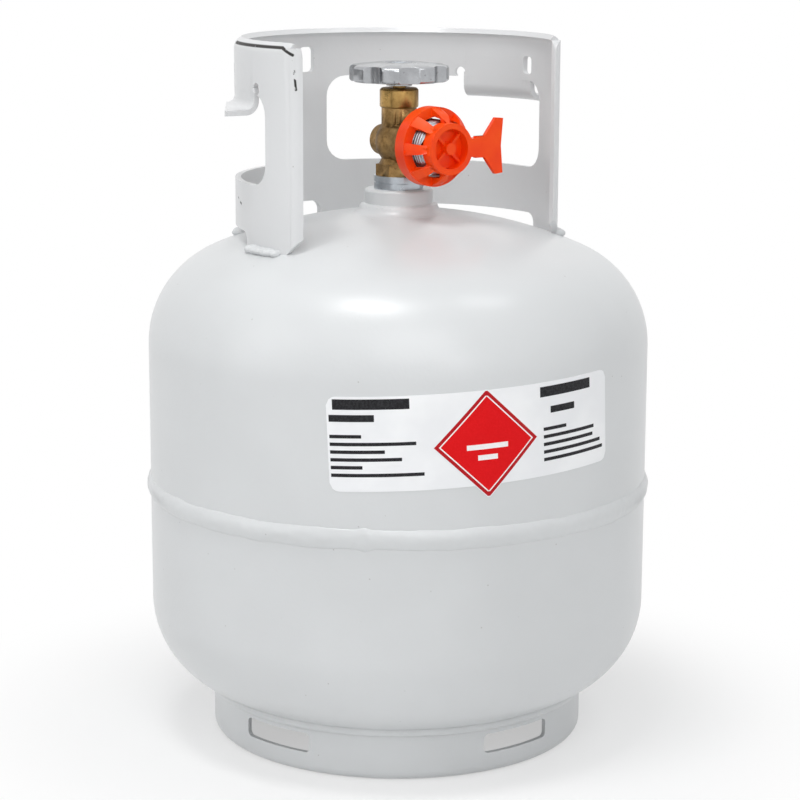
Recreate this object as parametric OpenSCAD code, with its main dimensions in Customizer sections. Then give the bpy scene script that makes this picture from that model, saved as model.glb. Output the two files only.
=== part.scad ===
/* [Vessel] */
// Outer diameter of the pressure vessel
vessel_d = 310; // [255:1:375]
// Wall thickness of the drawn shells
shell_t = 2.2; // [1.6:0.1:3]
// Height of the girth weld above the floor
seam_z = 159; // [140:1:190]
// Height where the straight wall ends and the upper head begins
wall_top = 247; // [220:1:300]
// Height where the straight wall ends and the lower head begins
wall_foot = 86; // [80:1:96]
// Knuckle radius of the upper head
top_knuckle = 62.5; // [52:0.5:75]
// Crown radius of the upper head
top_crown = 297; // [250:1:360]
// Knuckle radius of the lower head
foot_knuckle = 57; // [50:0.5:66]
// Crown radius of the lower head
foot_crown = 273; // [240:1:330]
// Height of the inner lip that backs the girth weld
lip_h = 12; // [8:0.5:18]
// Width of the girth weld bead
bead_w = 12; // [8:0.5:16]
// Height that the girth weld bead stands proud of the wall
bead_proud = 2.3; // [1:0.1:3.5]

/* [Foot ring] */
// Outer diameter of the foot ring
ring_d = 233.6; // [195:0.2:260]
// Sheet thickness of the foot ring
ring_t = 3; // [2:0.1:4]
// Outer radius of the curl along the lower edge
ring_curl = 5; // [4:0.5:7]
// Length of the curl's flat that stands on the floor
ring_flat = 4; // [2:0.5:8]
// Width of each vent window
vent_w = 50; // [30:1:60]
// Height of each vent window
vent_h = 12; // [8:0.5:13]
// Height of the vent windows' lower edge
vent_z = 13; // [10:0.5:14]

/* [Collar] */
// Outer diameter of the collar
collar_d = 201; // [180:1:230]
// Sheet thickness of the collar
collar_t = 3.5; // [2.5:0.1:4.5]
// Height of the collar's top edge
collar_top = 434.6; // [420:0.2:480]
// Angle from the outlet's axis to the collar's left front edge
front_left = 70.5; // [62:0.5:72]
// Angle from the outlet's axis to the collar's right front edge
front_right = 60.5; // [60.5:0.5:66]
// Radius of the corners between the top edge and the front edges
corner_r = 10; // [9.5:0.5:16]
// Height of the band's lower edge between the feet
band_z = 320.5; // [318:0.5:326]
// Height of the side windows' lower edge
window_z = 349.5; // [344:0.5:356]
// Height of the side windows' upper edge
window_top = 404; // [398:0.5:408]
// Corner radius of the side windows
window_r = 13; // [8:0.5:16]
// Angle from the front axis to the left window's front edge
window_left = 86.5; // [84:0.5:89]
// Angle from the front axis to the right window's front edge
window_right = 80; // [78:0.5:84]
// Angle from the front axis to each window's rear edge
window_rear = 173.5; // [160:0.5:174]
// Angle from the front axis to the left tongue's front end
tongue_left = 93.5; // [92:0.5:98]
// Angle from the front axis to the right tongue's front end
tongue_right = 86.5; // [85:0.5:90]
// Angle that each tongue spans
tongue_span = 33; // [28:0.5:36]
// Height of the tongue's lowest point
tongue_z = 391; // [387:0.5:393]
// Inner radius of the tongue's bend
tongue_bend = 5; // [3.5:0.5:6]
// Distance of the tongue's furthest corner from the vessel's axis
tongue_far = 119; // [112:1:122]
// Distance of the tongue's straight free edge from the vessel's axis
tongue_trim = 105.5; // [104:0.5:108]
// Angle from the front axis at which the free edge faces
tongue_trim_phi = 122; // [110:1:130]

/* [Sticker] */
// Width of the sticker round the wall
sticker_w = 180; // [120:1:200]
// Height of the sticker
sticker_h = 55; // [40:1:60]
// Height of the sticker's centre
sticker_z = 217.5; // [205:0.5:222]
// Angle of the sticker's centre from the front axis
sticker_phi = -16.6; // [-30:0.1:30]
// Tilt of the sticker
sticker_tilt = -2.2; // [-4:0.1:4]
// Half diagonal of the diamond on the sticker
diamond_half = 32; // [20:0.5:34]
// How far the square's middle lies below the strip's
diamond_drop = 3.5; // [0:0.5:6]
// Thickness of the sticker
sticker_t = 0.3; // [0.2:0.05:0.5]

/* [Boss and valve] */
// Outer radius of the threaded boss
boss_r = 21; // [19:0.5:24]
// Height of the boss's upper face
boss_top = 342; // [340:0.5:346]
// Radius of the valve's shank
shank_r = 12.4; // [11.5:0.1:13]
// Length of the shank below the boss's upper face
shank_len = 24; // [20:1:28]
// Height of the plated wrench collar
wrench_h = 8; // [6:0.5:10]
// Outer radius of the wrench collar
wrench_r = 15.2; // [14:0.2:18]
// Height of the valve body's hexagon
hex_h = 7; // [5:0.5:8]
// Height of the outlet's axis above the boss
outlet_rise = 28.5; // [27:0.5:32]
// Outer radius of the valve column
column_r = 10.8; // [10.6:0.1:12]
// Height of the valve column's upper face above the boss
column_rise = 49.4; // [48:0.2:52]
// Radius of the spindle chamber
chamber_r = 7.4; // [7:0.1:7.5]
// Radius of the outlet thread's crest
outlet_r = 16.65; // [16:0.05:17.2]
// Distance from the valve's axis to the outlet's end face
outlet_reach = 46; // [44:0.5:50]
// Length of the outlet thread
outlet_len = 21.4; // [18:0.2:22]
// Bore radius of the outlet socket
socket_r = 11.5; // [11:0.1:12]
// Depth of the outlet socket
socket_depth = 18; // [18:0.5:18.5]
// Outer radius of the relief valve's horn
relief_r = 9.5; // [9:0.1:10.5]
// Distance from the valve's axis to the relief horn's end
relief_reach = 18; // [18:0.5:20]
// Distance from the valve's axis to the bleeder boss's end
bleed_reach = 17.5; // [17:0.5:19]

/* [Handwheel] */
// Radius of the handwheel over its lobes
wheel_r = 30.5; // [26:0.5:36]
// Height of the handwheel's rim
wheel_h = 10; // [7:0.5:11]
// Number of lobes
lobe_count = 8; // [5:1:10]
// Radius of the stem
stem_r = 4.2; // [4:0.1:4.5]
// Radius of the bonnet's band
bonnet_r = 11.9; // [11:0.1:12.6]
// Side of the stem's square end
square_w = 5.6; // [5:0.1:5.8]
// Lift of the threaded plug from shut to open
plug_lift = 3.5; // [2:0.1:3.5]

/* [Outlet cap] */
// Outer radius of the cap's rear ring
cap_r = 24; // [22:0.5:27]
// Length of the cap
cap_len = 25; // [24:0.5:28]
// Number of ribs between the cap's two rings
rib_count = 8; // [6:1:10]
// Radius of the cap's front ring
cap_front_r = 15.5; // [15:0.5:16.5]
// Distance from the outlet's axis to the tab's end
tab_reach = 40; // [36:0.5:46]
// Height of the tab at its end
tab_end = 34; // [26:0.5:38]
// Thickness of the tab
tab_t = 2.6; // [1.5:0.1:3]

/* [Overfill stop] */
// Length of the liquid level tube below the shank
level_len = 95; // [60:1:110]
// Length of the float
float_len = 56; // [40:1:64]
// Radius of the float
float_r = 11; // [8:0.5:11.5]
// Angle of the float's arm below the level at rest
arm_drop = 30; // [25:1:30]

/* [Fits] */
// Radial gap of a screwed or pushed fit within one body
fit_gap = 0.1; // [0.05:0.01:0.15]
// Radial gap of a turning or sliding fit
run_gap = 0.08; // [0.04:0.01:0.1]
// Gap between two pieces that meet but move apart
seat_gap = 0.3; // [0.2:0.05:0.4]

/* [Hidden] */
$fn = 64;

paint = [0.84, 0.85, 0.85];
inner_paint = [0.66, 0.66, 0.64];
brass = [0.72, 0.56, 0.28];
plated = [0.66, 0.67, 0.68];
orange = [0.95, 0.29, 0.05];
dark = [0.12, 0.12, 0.12];

vessel_r = vessel_d / 2;
ring_r = ring_d / 2;
collar_r = collar_d / 2;
outlet_z = boss_top + outlet_rise;
column_top = boss_top + column_rise;
hex_z = boss_top + wrench_h;
shank_z = boss_top - shank_len;
drill_r = 1;
drill_at = chamber_r + 1.7;

// ---- helpers ----

// Points of an arc from angle a0 to a1 in the plane
function arc(cx, cy, r, a0, a1, n) =
    [for (i = [0:n]) let (a = a0 + (a1 - a0) * i / n) [cx + r * cos(a), cy + r * sin(a)]];
function reversed(p) = [for (i = [len(p) - 1:-1:0]) p[i]];
function mirrored(p) = [for (q = p) [q[0], -q[1]]];

// Half outline of a torispherical head whose rim lies at height 0: wall radius wr, knuckle
// radius kr, crown radius cr, moved out by g, and open over the radius hole
function head_line(wr, kr, cr, g, hole) =
    let (k = sqrt(pow(cr - kr, 2) - pow(wr - kr, 2)),
         a = atan2(k, wr - kr),
         top = acos(hole / (cr + g)))
    concat(arc(wr - kr, 0, kr + g, 0, a, 10), arc(0, -k, cr + g, a + (top - a) / 8, top, 7));

// Height of a head's outer face over its rim at radius x, on the crown
function crown_z(wr, kr, cr, x) =
    sqrt(pow(cr, 2) - pow(x, 2)) - sqrt(pow(cr - kr, 2) - pow(wr - kr, 2));

// Ring between two radii and two heights
module ring(r1, r2, z1, z2) {
    difference() {
        translate([0, 0, z1]) cylinder(r = r2, h = z2 - z1);
        translate([0, 0, z1 - 1]) cylinder(r = r1, h = z2 - z1 + 2);
    }
}

// Places children so that their own -Y looks along the angle phi from the front axis
module at_phi(phi) {
    rotate([0, 0, phi]) children();
}

// Sweeps a (radius, height) outline from angle phi0 to phi1
module sweep(phi0, phi1) {
    rotate([0, 0, phi0 - 90]) rotate_extrude(angle = phi1 - phi0, $fn = 96) children();
}

// Rounded rectangle
module rounded(w, h, cr) {
    x = w / 2 - cr;
    y = h / 2 - cr;
    polygon(concat(arc(x, y, cr, 0, 90, 6), arc(-x, y, cr, 90, 180, 6),
                   arc(-x, -y, cr, 180, 270, 6), arc(x, -y, cr, 270, 360, 6)));
}

// Cutter for a rounded window in a rolled sheet of outer radius r, between two angles and heights
module sheet_window(phi0, phi1, z0, z1, cr, r) {
    at_phi((phi0 + phi1) / 2) translate([0, -r / 2, (z0 + z1) / 2]) rotate([90, 0, 0])
        linear_extrude(r) rounded(2 * r * sin((phi1 - phi0) / 2), z1 - z0, cr);
}

// Cutter for a long window, whose two rounded ends are joined by a wedge that cuts a hair past them
module long_window(phi0, phi1, z0, z1, cr, r) {
    end = 20;
    sheet_window(phi0, phi0 + end, z0, z1, cr, r);
    sheet_window(phi1 - end, phi1, z0, z1, cr, r);
    mid = (phi0 + phi1) / 2;
    far = 1.6 * r;
    past = 0.02;
    translate([0, 0, z0 - past]) linear_extrude(z1 - z0 + 2 * past)
        polygon(concat([[0, 0]], [for (phi = [phi0 + end / 2, mid, phi1 - end / 2])
            [far * sin(phi), -far * cos(phi)]]));
}

// Along the outlet, away from the valve's axis
module along_outlet(d) {
    translate([0, 0, outlet_z]) rotate([90, 0, 0]) translate([0, 0, d]) children();
}
// Along the relief horn, away from the valve's axis
module along_relief(d) {
    translate([0, 0, outlet_z]) rotate([-90, 0, 0]) translate([0, 0, d]) children();
}
// Along the bleeder boss, away from the valve's axis
module along_bleed(d) {
    translate([0, 0, outlet_z]) rotate([0, 90, 0]) translate([0, 0, d]) children();
}

// Conical spring along +Z, wire radius w, length h: its turns narrow from r to r_top, so they
// nest inside each other when it is pressed flat
module coil(r, r_top, w, h, turns) {
    sides = 8;
    steps = turns * 12;
    pts = [for (i = [0:steps], j = [0:sides - 1])
        let (a = 360 * i / 12, b = 360 * j / sides, q = r + (r_top - r) * i / steps)
        [(q + w * cos(b)) * cos(a), (q + w * cos(b)) * sin(a),
         w + (h - 2 * w) * i / steps + w * sin(b)]];
    walls = [for (i = [0:steps - 1], j = [0:sides - 1])
        let (n = (j + 1) % sides)
        [i * sides + j, i * sides + n, (i + 1) * sides + n, (i + 1) * sides + j]];
    polyhedron(points = pts, convexity = 8,
        faces = concat([[for (j = [sides - 1:-1:0]) j]],
                       [for (f = walls) [f[0], f[1], f[2]]],
                       [for (f = walls) [f[0], f[2], f[3]]],
                       [[for (j = [0:sides - 1]) steps * sides + j]]));
}

// ---- vessel ----

// Solid block under the upper head's outer face
module upper_head_solid() {
    line = head_line(vessel_r, top_knuckle, top_crown, 0, boss_r + fit_gap);
    rotate_extrude($fn = 128) translate([0, wall_top])
        polygon(concat([[0, seam_z - wall_top], [vessel_r, seam_z - wall_top]], line,
                       [[0, line[len(line) - 1][1]]]));
}

// Solid block over the lower head's outer face
module lower_head_solid() {
    line = mirrored(head_line(vessel_r, foot_knuckle, foot_crown, 0, 0));
    rotate_extrude($fn = 128) translate([0, wall_foot])
        polygon(concat([[0, seam_z - wall_foot], [vessel_r, seam_z - wall_foot]], line));
}

root_gap = 1;
lip_r = vessel_r - shell_t - fit_gap;

// Upper drawn head with its straight wall, pierced for the boss
module upper_shell() {
    outer = head_line(vessel_r, top_knuckle, top_crown, 0, boss_r + fit_gap);
    inner = head_line(vessel_r, top_knuckle, top_crown, -shell_t, boss_r + fit_gap);
    z0 = seam_z + root_gap - wall_top;
    color(paint) rotate_extrude($fn = 128) translate([0, wall_top])
        polygon(concat([[vessel_r, z0]], outer, reversed(inner), [[vessel_r - shell_t, z0]]));
}

// Lower drawn head, whose rim is stepped in to back the girth weld
module lower_shell() {
    outer = mirrored(head_line(vessel_r, foot_knuckle, foot_crown, 0, 0));
    inner = mirrored(head_line(vessel_r, foot_knuckle, foot_crown, -shell_t, 0));
    z0 = seam_z - wall_foot;
    color(paint) rotate_extrude($fn = 128) translate([0, wall_foot])
        polygon(concat(
            [[lip_r - shell_t, z0 + lip_h], [lip_r, z0 + lip_h],
             [lip_r, z0 - root_gap], [vessel_r, z0 - root_gap]],
            outer, reversed(inner),
            [[vessel_r - shell_t, z0 - 9], [lip_r - shell_t, z0 - 5]]));
}

// Weld bead that fills the root gap and stands proud of the wall
module girth_weld() {
    half = bead_w / 2;
    r = (half * half + bead_proud * bead_proud) / (2 * bead_proud);
    a = asin(half / r);
    color(paint) rotate_extrude($fn = 128) translate([0, seam_z])
        polygon(concat(
            arc(vessel_r + bead_proud - r, 0, r, -a, a, 10),
            [[vessel_r, root_gap], [lip_r + fit_gap, root_gap],
             [lip_r + fit_gap, -root_gap], [vessel_r, -root_gap]]));
}

// ---- foot ring ----

ring_seat = wall_foot - sqrt(pow(foot_knuckle, 2) - pow(ring_r - vessel_r + foot_knuckle, 2));

module ring_wall() {
    cr = ring_curl;
    rotate_extrude($fn = 128)
        polygon(concat(
            [[ring_r - cr - ring_flat, 0]],
            arc(ring_r - cr, cr, cr, -90, 0, 6),
            [[ring_r, ring_seat + 6], [ring_r - ring_t, ring_seat + 6]],
            arc(ring_r - cr, cr, cr - ring_t, 0, -90, 6),
            [[ring_r - cr - ring_flat, ring_t]]));
}

// Rolled ring that the cylinder stands on, with vent windows
module foot_ring() {
    half = vent_w / ring_r * 90 / PI;
    color(paint) difference() {
        ring_wall();
        lower_head_solid();
        for (phi = [-74, 4, 106, 184])
            sheet_window(phi - half, phi + half, vent_z, vent_z + vent_h, 3, ring_r);
    }
}

// Fillet weld round the foot ring's top edge
module foot_ring_weld() {
    color(paint) difference() {
        rotate_extrude($fn = 128) translate([ring_r + 1, ring_seat - 0.5]) circle(r = 3.2, $fn = 24);
        lower_head_solid();
        ring_wall();
        translate([0, 0, ring_seat - 20]) cylinder(r = ring_r - ring_t / 2, h = 40);
    }
}

// ---- collar ----

lip_r_out = 6.5;
lip_turn = 55;
lip_flat = 2;
lip_rise = lip_r_out * sin(lip_turn) + lip_flat * cos(lip_turn);
lip_z = collar_top - lip_rise;
fold_da = lip_rise / collar_r * 180 / PI;

// Right side, then left side, which is mirrored
fronts = [front_right, front_left];
windows = [window_right, window_left];
tongues = [tongue_right, tongue_left];

// Outline of the sheet's rolled edge: x from the edge's outer face inward, y up to the lip.
// The foot reaches down into the sheet, and inset thins it a little
function lip_line(foot, inset = 0) =
    let (r = lip_r_out - inset,
         o = arc(lip_r_out, 0, r, 180, 180 - lip_turn, 5),
         i = arc(lip_r_out, 0, lip_r_out - collar_t + inset, 180 - lip_turn, 180, 5),
         d = [lip_flat * sin(lip_turn), lip_flat * cos(lip_turn)])
    concat([[inset, foot]], o, [o[5] + d, i[0] + d], i, [[collar_t - inset, foot]]);

// Rolled wall with its inward lip along the top
module collar_wall(z0) {
    sweep(front_right + fold_da, 360 - front_left - fold_da)
        polygon([for (p = lip_line(z0 - lip_z)) [collar_r - p[0], lip_z + p[1]]]);
}

// Rolled lip along one front edge
module collar_end(front, z0) {
    at_phi(front + fold_da) translate([0, -collar_r, z0]) linear_extrude(collar_top - 3 - z0)
        polygon([for (p = lip_line(-3, 0.1)) [-p[1], p[0]]]);
}

// Cutter that rounds one top front corner
module corner_cut(front) {
    at_phi(front) translate([0, -collar_r, collar_top - corner_r]) rotate([90, 0, 0])
        difference() {
            translate([-corner_r, 0, -corner_r]) cube([2 * corner_r, 2 * corner_r, 2 * corner_r]);
            translate([corner_r, 0, -corner_r - 1]) cylinder(r = corner_r, h = 2 * corner_r + 2);
            translate([corner_r, -1, -corner_r - 1])
                cube([2 * corner_r, 3 * corner_r, 2 * corner_r + 2]);
        }
}

// Hand-hold tongue, turned out over the side window, with its free edge cut straight
module tongue(front) {
    r_in = tongue_bend + 0.1;
    r_out = tongue_bend + collar_t - 0.1;
    z = tongue_z + r_out;
    difference() {
        sweep(front, front + tongue_span)
            polygon(concat(
                [[collar_r + tongue_bend - r_out, window_top + 3]],
                arc(collar_r + tongue_bend, z, r_out, 180, 270, 8),
                [[tongue_far, tongue_z], [tongue_far, tongue_z + r_out - r_in]],
                arc(collar_r + tongue_bend, z, r_in, 270, 180, 8),
                [[collar_r + tongue_bend - r_in, window_top + 3]]));
        at_phi(tongue_trim_phi) translate([-90, -tongue_trim - 60, tongue_z - 5]) cube([180, 60, 20]);
    }
}

// Rolled collar that guards the valve, open at the front, with two hand-holds
module collar() {
    foot_low = 300;
    gap_right = 84;
    relief = 3.6;
    relief_da = relief / collar_r * 180 / PI - 0.5;
    color(inner_paint) difference() {
        union() {
            difference() {
                union() {
                    collar_wall(foot_low);
                    for (side = [0, 1]) mirror([side, 0, 0]) collar_end(fronts[side], foot_low);
                }
                for (side = [0, 1]) mirror([side, 0, 0]) {
                    corner_cut(fronts[side]);
                    long_window(windows[side], window_rear, window_z, window_top, window_r, collar_r);
                    for (da = side == 0 ? [tongue_span + relief_da] : [-relief_da, tongue_span + relief_da])
                        at_phi(tongues[side] + da) translate([0, -collar_r - 2, window_top + 2.5])
                            rotate([-90, 0, 0]) cylinder(r = relief, h = collar_t + 4);
                    sheet_window(side == 0 ? gap_right : 100, 139, foot_low - 20, band_z, 6, collar_r);
                }
                sheet_window(86, 91, 408, 419, 2.5, collar_r);
                sheet_window(179.5, 186, 407, 423, 3, collar_r);
                sheet_window(237, 243, 409, 419, 3, collar_r);
                sheet_window(177, 189, foot_low - 20, band_z + 3.5, 6, collar_r);
            }
            for (side = [0, 1]) mirror([side, 0, 0]) tongue(tongues[side]);
        }
        upper_head_solid();
        for (side = [0, 1]) mirror([side, 0, 0]) at_phi(fronts[side])
            translate([0, -collar_r - 2, band_z]) rotate([-90, 0, 0]) rotate([0, 0, 45])
                translate([-30, 0, 0]) cube([60, 34, collar_t + 10]);
    }
}

// Fillet welds that hold the collar's feet to the upper head
module collar_welds() {
    z = wall_top + crown_z(vessel_r, top_knuckle, top_crown, collar_r);
    color(paint) difference() {
        for (a = [[67, 82], [141, 154], [162, 175], [191, 204], [212, 225], [265, 280]])
            sweep(a[0], a[1]) translate([collar_r + 0.8, z + 0.5]) circle(r = 3, $fn = 20);
        upper_head_solid();
        translate([0, 0, z - 20]) cylinder(r = collar_r, h = 60, $fn = 96);
    }
}

// ---- sticker ----

// Thin sticker on the wall, a rounded strip with a diamond that reaches past it
module sticker() {
    half = vessel_r * sin(sticker_w / vessel_r * 90 / PI);
    color([0.95, 0.95, 0.95]) intersection() {
        ring(vessel_r, vessel_r + sticker_t, sticker_z - 60, sticker_z + 60);
        at_phi(sticker_phi) translate([0, -vessel_r + 60, sticker_z]) rotate([90, 0, 0])
            rotate([0, 0, -sticker_tilt]) linear_extrude(70) union() {
                rounded(2 * half, sticker_h, 5);
                translate([2, -diamond_drop])
                    polygon([[-diamond_half, 0], [0, -diamond_half],
                             [diamond_half, 0], [0, diamond_half]]);
            }
    }
}

// ---- boss and valve body ----

boss_foot = boss_top - 20;

module valve_boss() {
    color(paint) difference() {
        union() {
            translate([0, 0, boss_foot]) cylinder(r = boss_r, h = boss_top - boss_foot - 1);
            translate([0, 0, boss_top - 1]) cylinder(r1 = boss_r, r2 = boss_r - 1, h = 1);
        }
        translate([0, 0, boss_foot - 1]) cylinder(r = shank_r + fit_gap, h = 30);
    }
}

module boss_weld() {
    z = wall_top + crown_z(vessel_r, top_knuckle, top_crown, boss_r);
    color(paint) difference() {
        rotate_extrude() polygon(concat(
            [[boss_r, z - 4]], [[boss_r + 9, z - 4]],
            arc(boss_r + 9, z + 5.5, 6.2, -90, -170, 6), [[boss_r, z + 5.5]]));
        upper_head_solid();
    }
}

// Plated ring between the boss and the valve body, with two wrench flats
module wrench_collar() {
    color(plated) difference() {
        intersection() {
            ring(shank_r + fit_gap, wrench_r, boss_top, hex_z);
            translate([0, 0, boss_top + wrench_h / 2])
                cube([3 * wrench_r, 2 * wrench_r - 2, wrench_h + 2], center = true);
        }
        translate([0, 0, boss_top + wrench_h / 2]) ring(wrench_r - 0.8, wrench_r + 1, -0.4, 0.4);
    }
}

horn_r = 13;
nipple_core = 13.6;
shoulder_r = 17.5;
shoulder_w = 4.3;
seat_z = hex_z + 12;
seat_rise = 1;
boss2_r = 6;
nipple_at = outlet_reach - outlet_len;
relief_seat = relief_reach - 7;

// Forged brass body with its shank, outlet, relief horn and bleeder boss
module valve_body() {
    color(brass) difference() {
        union() {
            translate([0, 0, shank_z]) cylinder(r = shank_r, h = hex_z - shank_z);
            translate([0, 0, hex_z]) rotate([0, 0, 30]) cylinder(r = column_r + 3.4, h = hex_h, $fn = 6);
            translate([0, 0, hex_z + hex_h]) cylinder(r1 = column_r + 1.5, r2 = column_r, h = 3);
            translate([0, 0, hex_z]) cylinder(r = column_r, h = column_top - hex_z);
            translate([0, 0, outlet_z]) sphere(r = horn_r + 1.5);
            along_outlet(0) cylinder(r = horn_r, h = nipple_at);
            along_outlet(nipple_at - shoulder_w - 0.2) cylinder(r = shoulder_r, h = shoulder_w);
            along_outlet(0) cylinder(r = nipple_core, h = outlet_reach - 0.6);
            along_relief(0) cylinder(r = relief_r, h = relief_reach);
            along_bleed(0) cylinder(r = boss2_r, h = bleed_reach);
        }
        difference() {
            translate([0, 0, seat_z - seat_rise])
                cylinder(r = chamber_r, h = column_top - seat_z + seat_rise + 1);
            translate([0, 0, seat_z - seat_rise - 1]) cylinder(r = 5, h = seat_rise + 1);
        }
        translate([0, 0, shank_z - 1]) cylinder(r = 3.5, h = seat_z - shank_z + 2);
        translate([0, 0, shank_z - 1]) cylinder(r = 6.4 + fit_gap, h = 9);
        along_outlet(0) cylinder(r = 3, h = outlet_reach);
        along_outlet(outlet_reach - socket_depth) cylinder(r = socket_r, h = socket_depth + 1);
        along_relief(drill_at - drill_r) cylinder(r = 2, h = relief_reach);
        along_relief(relief_seat) cylinder(r = 6.5, h = relief_reach);
        translate([0, drill_at, shank_z - 1]) cylinder(r = drill_r, h = outlet_z - shank_z + 1);
        along_bleed(drill_at - drill_r) cylinder(r = 1, h = bleed_reach);
        along_bleed(drill_at + 1.5) cylinder(r = 2.5 + run_gap, h = bleed_reach);
        translate([drill_at, 0, shank_z - 1]) cylinder(r = drill_r, h = outlet_z - shank_z + 1);
        translate([drill_at, 0, shank_z - 1]) cylinder(r = 1.5 + fit_gap, h = 7);
    }
}

// Plated sleeve that carries the outlet's outside thread
module outlet_nipple() {
    color(plated) along_outlet(0) difference() {
        union() {
            translate([0, 0, nipple_at]) cylinder(r = outlet_r, h = outlet_len - 1);
            translate([0, 0, outlet_reach - 1]) cylinder(r1 = outlet_r, r2 = outlet_r - 1, h = 1);
        }
        cylinder(r = nipple_core + fit_gap, h = outlet_reach + 1);
    }
}

// ---- outlet internals ----

seal_at = outlet_reach - 12;
seal_t = 3;
poppet_back = seal_at - seat_gap - 2.7;

module outlet_seal() {
    color(dark) along_outlet(0) ring(7, socket_r - fit_gap, seal_at, seal_at + seal_t);
}

// Spring-loaded check disc with the pin that the mating fitting pushes
module check_poppet() {
    color(brass) along_outlet(0) {
        translate([0, 0, poppet_back]) cylinder(r = 9.5, h = 2.7);
        translate([0, 0, poppet_back]) cylinder(r = 2.5, h = 6.5);
    }
}

module check_spring() {
    color(plated) along_outlet(outlet_reach - socket_depth + 0.05)
        coil(8.4, 4, 0.4, poppet_back - outlet_reach + socket_depth - 0.1, 3);
}

// ---- relief valve and bleeder ----

retainer_at = relief_reach - 1.5;

module relief_poppet() {
    color(dark) along_relief(relief_seat + seat_gap) cylinder(r = 6, h = 1.8);
}

module relief_spring() {
    d0 = relief_seat + seat_gap + 1.85;
    color(plated) along_relief(d0) coil(4.6, 2.2, 0.3, retainer_at - d0 - 0.05, 3);
}

module relief_retainer() {
    color(brass) along_relief(0) difference() {
        union() {
            translate([0, 0, retainer_at]) cylinder(r = 6.5 - fit_gap, h = 3);
            translate([0, 0, relief_reach]) cylinder(r = 7.6, h = 2);
        }
        translate([0, 0, retainer_at - 1]) cylinder(r = 1.5, h = 8);
        translate([0, 0, relief_reach + 0.8]) cylinder(r = 3.4, h = 3, $fn = 6);
    }
}

module bleeder_screw() {
    color(brass) along_bleed(0) difference() {
        union() {
            translate([0, 0, drill_at + 2]) cylinder(r = 2.5, h = bleed_reach - drill_at);
            translate([0, 0, bleed_reach + seat_gap]) cylinder(r = 4.6, h = 3);
        }
        translate([-0.6, -6, bleed_reach + seat_gap + 1.6]) cube([1.2, 12, 3]);
    }
}

// ---- spindle ----

plug_r = chamber_r - run_gap;
plug_z = seat_z + 9;
plug_h = 12;
slot_deep = 9;
tang_t = 3;
tang_z = plug_z + plug_h - slot_deep + plug_lift + 0.5;
flange_z = plug_z + plug_h + plug_lift + seat_gap;
flange_h = 1.9;
bonnet_z = flange_z + flange_h + seat_gap;
stem_top = column_top + 24;

module bonnet_nut() {
    color(brass) difference() {
        union() {
            translate([0, 0, bonnet_z]) cylinder(r = chamber_r - fit_gap, h = column_top - bonnet_z + 1);
            translate([0, 0, column_top]) cylinder(r1 = bonnet_r - 0.8, r2 = bonnet_r, h = 0.8);
            translate([0, 0, column_top + 0.8]) cylinder(r = bonnet_r, h = 10.1);
            translate([0, 0, column_top + 10.9]) cylinder(r1 = bonnet_r, r2 = bonnet_r - 1.2, h = 1.2);
        }
        translate([0, 0, bonnet_z - 1]) cylinder(r = stem_r + run_gap, h = 30);
    }
}

// Stem that the handwheel turns, with the tang that drives the threaded plug
module upper_spindle() {
    color(brass) difference() {
        union() {
            translate([-tang_t / 2, -4, tang_z]) cube([tang_t, 8, flange_z - tang_z + 1]);
            translate([0, 0, flange_z]) cylinder(r = chamber_r - 0.5, h = flange_h);
            translate([0, 0, flange_z + 1]) cylinder(r = stem_r, h = column_top + 12 - flange_z - 1);
            translate([-square_w / 2, -square_w / 2, column_top + 12])
                cube([square_w, square_w, stem_top - column_top - 12]);
        }
        ring(stem_r - 1, stem_r + 1, column_top + 3, column_top + 4.4);
        translate([0, 0, stem_top - 8]) cylinder(r = 1.9 + fit_gap, h = 9);
    }
}

module spindle_ring() {
    color(dark) translate([0, 0, column_top + 3.7]) rotate_extrude()
        translate([stem_r - 0.45, 0]) circle(r = 0.45, $fn = 16);
}

// Threaded plug that rises off the seat
module lower_spindle() {
    color(brass) difference() {
        union() {
            translate([0, 0, plug_z]) cylinder(r = plug_r, h = plug_h);
            translate([0, 0, seat_z + seat_gap + 0.7]) cylinder(r = 6, h = plug_z - seat_z);
        }
        translate([0, 0, seat_z]) cylinder(r = 4.9 + fit_gap, h = seat_gap + 3.2);
        translate([-tang_t / 2 - fit_gap, -4.5, plug_z + plug_h - slot_deep])
            cube([tang_t + 2 * fit_gap, 9, slot_deep + 1]);
    }
}

module seat_disc() {
    color(dark) translate([0, 0, seat_z + seat_gap]) cylinder(r = 4.9, h = 3.1 - seat_gap);
}

// ---- handwheel ----

wheel_z = column_top + 16;

// Cast handwheel with scalloped lobes and a hollow underside
module handwheel() {
    top = wheel_z + wheel_h;
    color([0.62, 0.63, 0.63]) difference() {
        rotate_extrude($fn = 96) polygon(concat(
            [[0, column_top + 13.4], [8, column_top + 13.4], [8, wheel_z + 3.5],
             [wheel_r - 7, wheel_z + 3.5], [wheel_r - 5, wheel_z], [wheel_r - 2, wheel_z]],
            arc(wheel_r - 2, wheel_z + 2, 2, -90, 0, 4),
            arc(wheel_r - 2.5, top - 2.5, 2.5, 0, 75, 4),
            [[wheel_r / 2, top + 1.4], [9.5, top + 1.6], [7, top - 0.8], [0, top - 0.8]]));
        for (i = [0:lobe_count - 1])
            rotate([0, 0, 360 / lobe_count * (i + 0.5)])
                translate([wheel_r + 5.8, 0, wheel_z - 1]) cylinder(r = 9.4, h = wheel_h + 4, $fn = 40);
        side = square_w + 2 * fit_gap;
        translate([-side / 2, -side / 2, column_top]) cube([side, side, 40]);
    }
}

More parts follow.
